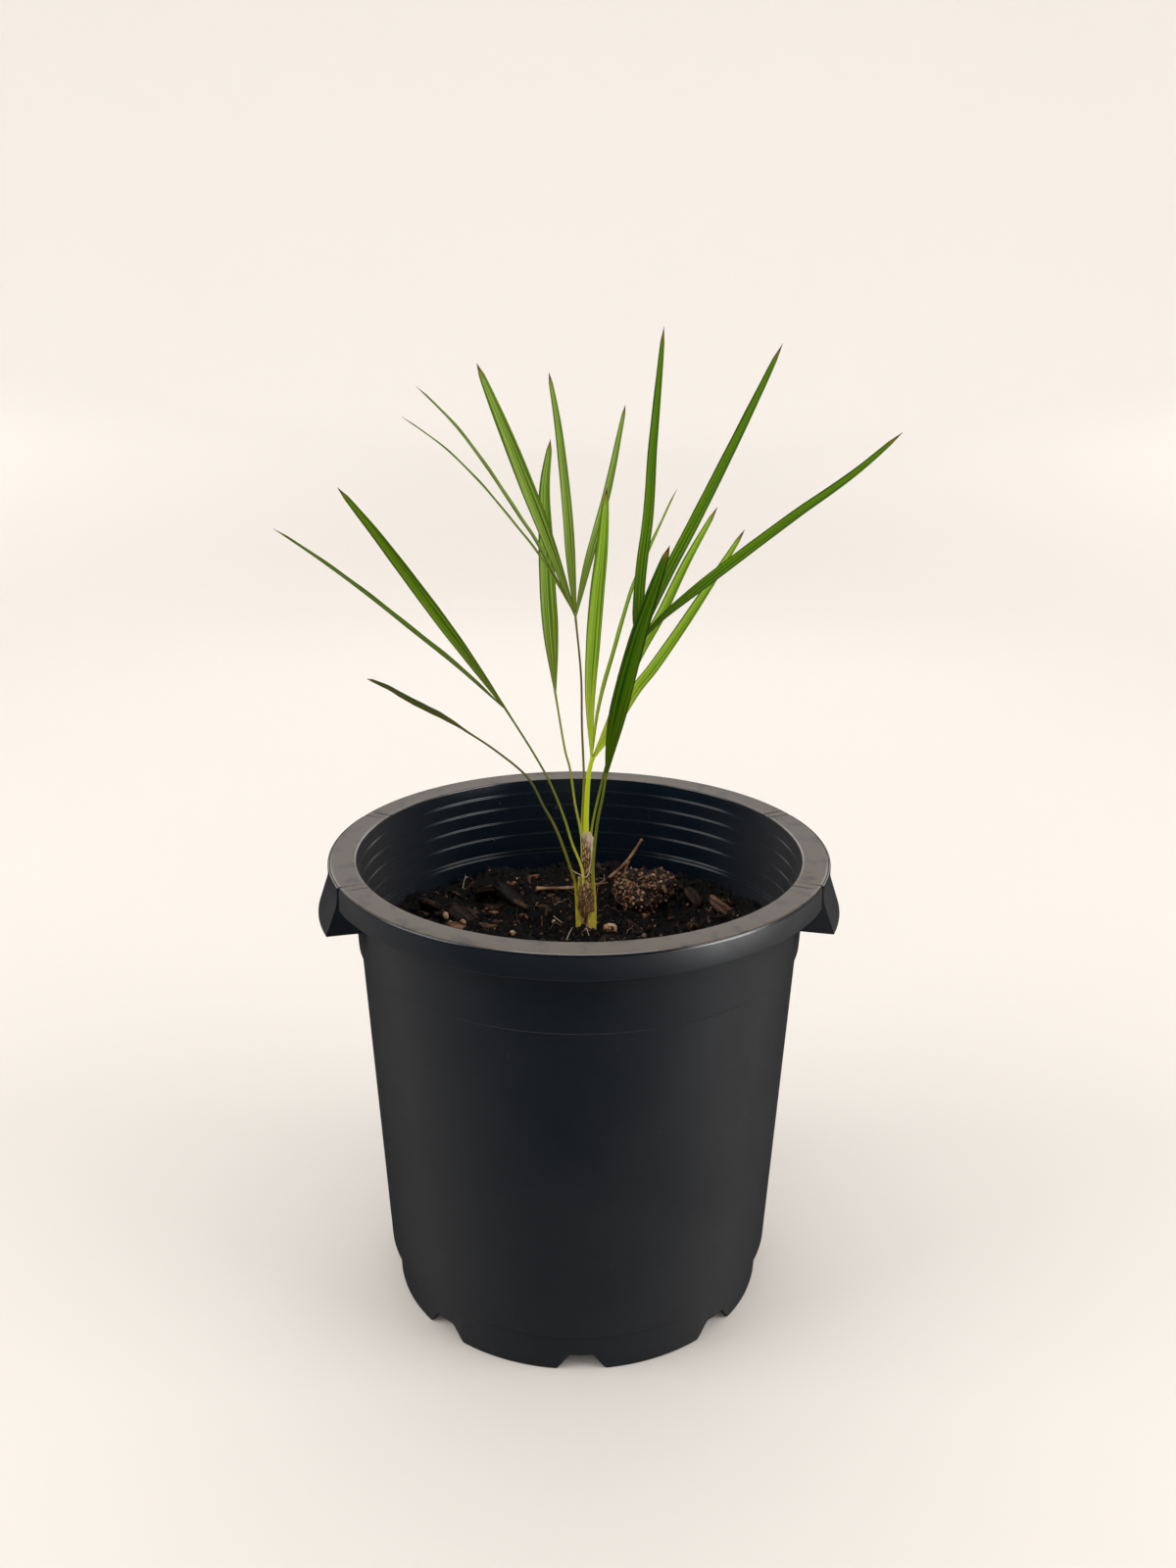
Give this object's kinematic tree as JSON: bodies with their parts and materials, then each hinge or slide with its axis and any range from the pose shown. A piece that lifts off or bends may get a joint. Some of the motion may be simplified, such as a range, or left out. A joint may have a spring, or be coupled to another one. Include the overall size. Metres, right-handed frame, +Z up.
{
  "type": "potted thatch palm",
  "caption": "Young fan palm with narrow folded leaf segments on thin stalks, standing in dark potting mix in a round black nursery pot with grip lugs at its rim.",
  "frame": {"origin": "on the pot's axis, in the plane that its foot stands on", "axes": "+Z up; -Y towards the viewer of the picture; +X to that viewer's right"},
  "size_m": [0.2316, 0.2004, 0.3931],
  "materials": {
    "black_plastic": "satin",
    "potting_mix": "matte",
    "peat": "matte",
    "dry_wood": "matte",
    "stem_fibre": "matte",
    "papery_sheath": "matte",
    "leaf_green": "satin"
  },
  "bodies": {
    "root": {"pot": "black_plastic", "potting_mix": "potting_mix", "peat_clod": "peat", "bark_nugget": "dry_wood", "stick": "dry_wood", "forked_twig": "dry_wood", "stem_base": "stem_fibre", "dry_sheath": "papery_sheath", "leaf_low_left": "leaf_green", "leaf_left": "leaf_green", "leaf_back": "leaf_green", "leaf_tall": "leaf_green", "leaf_new": "leaf_green", "leaf_front": "leaf_green", "leaf_right": "leaf_green"}
  },
  "joints": []
}
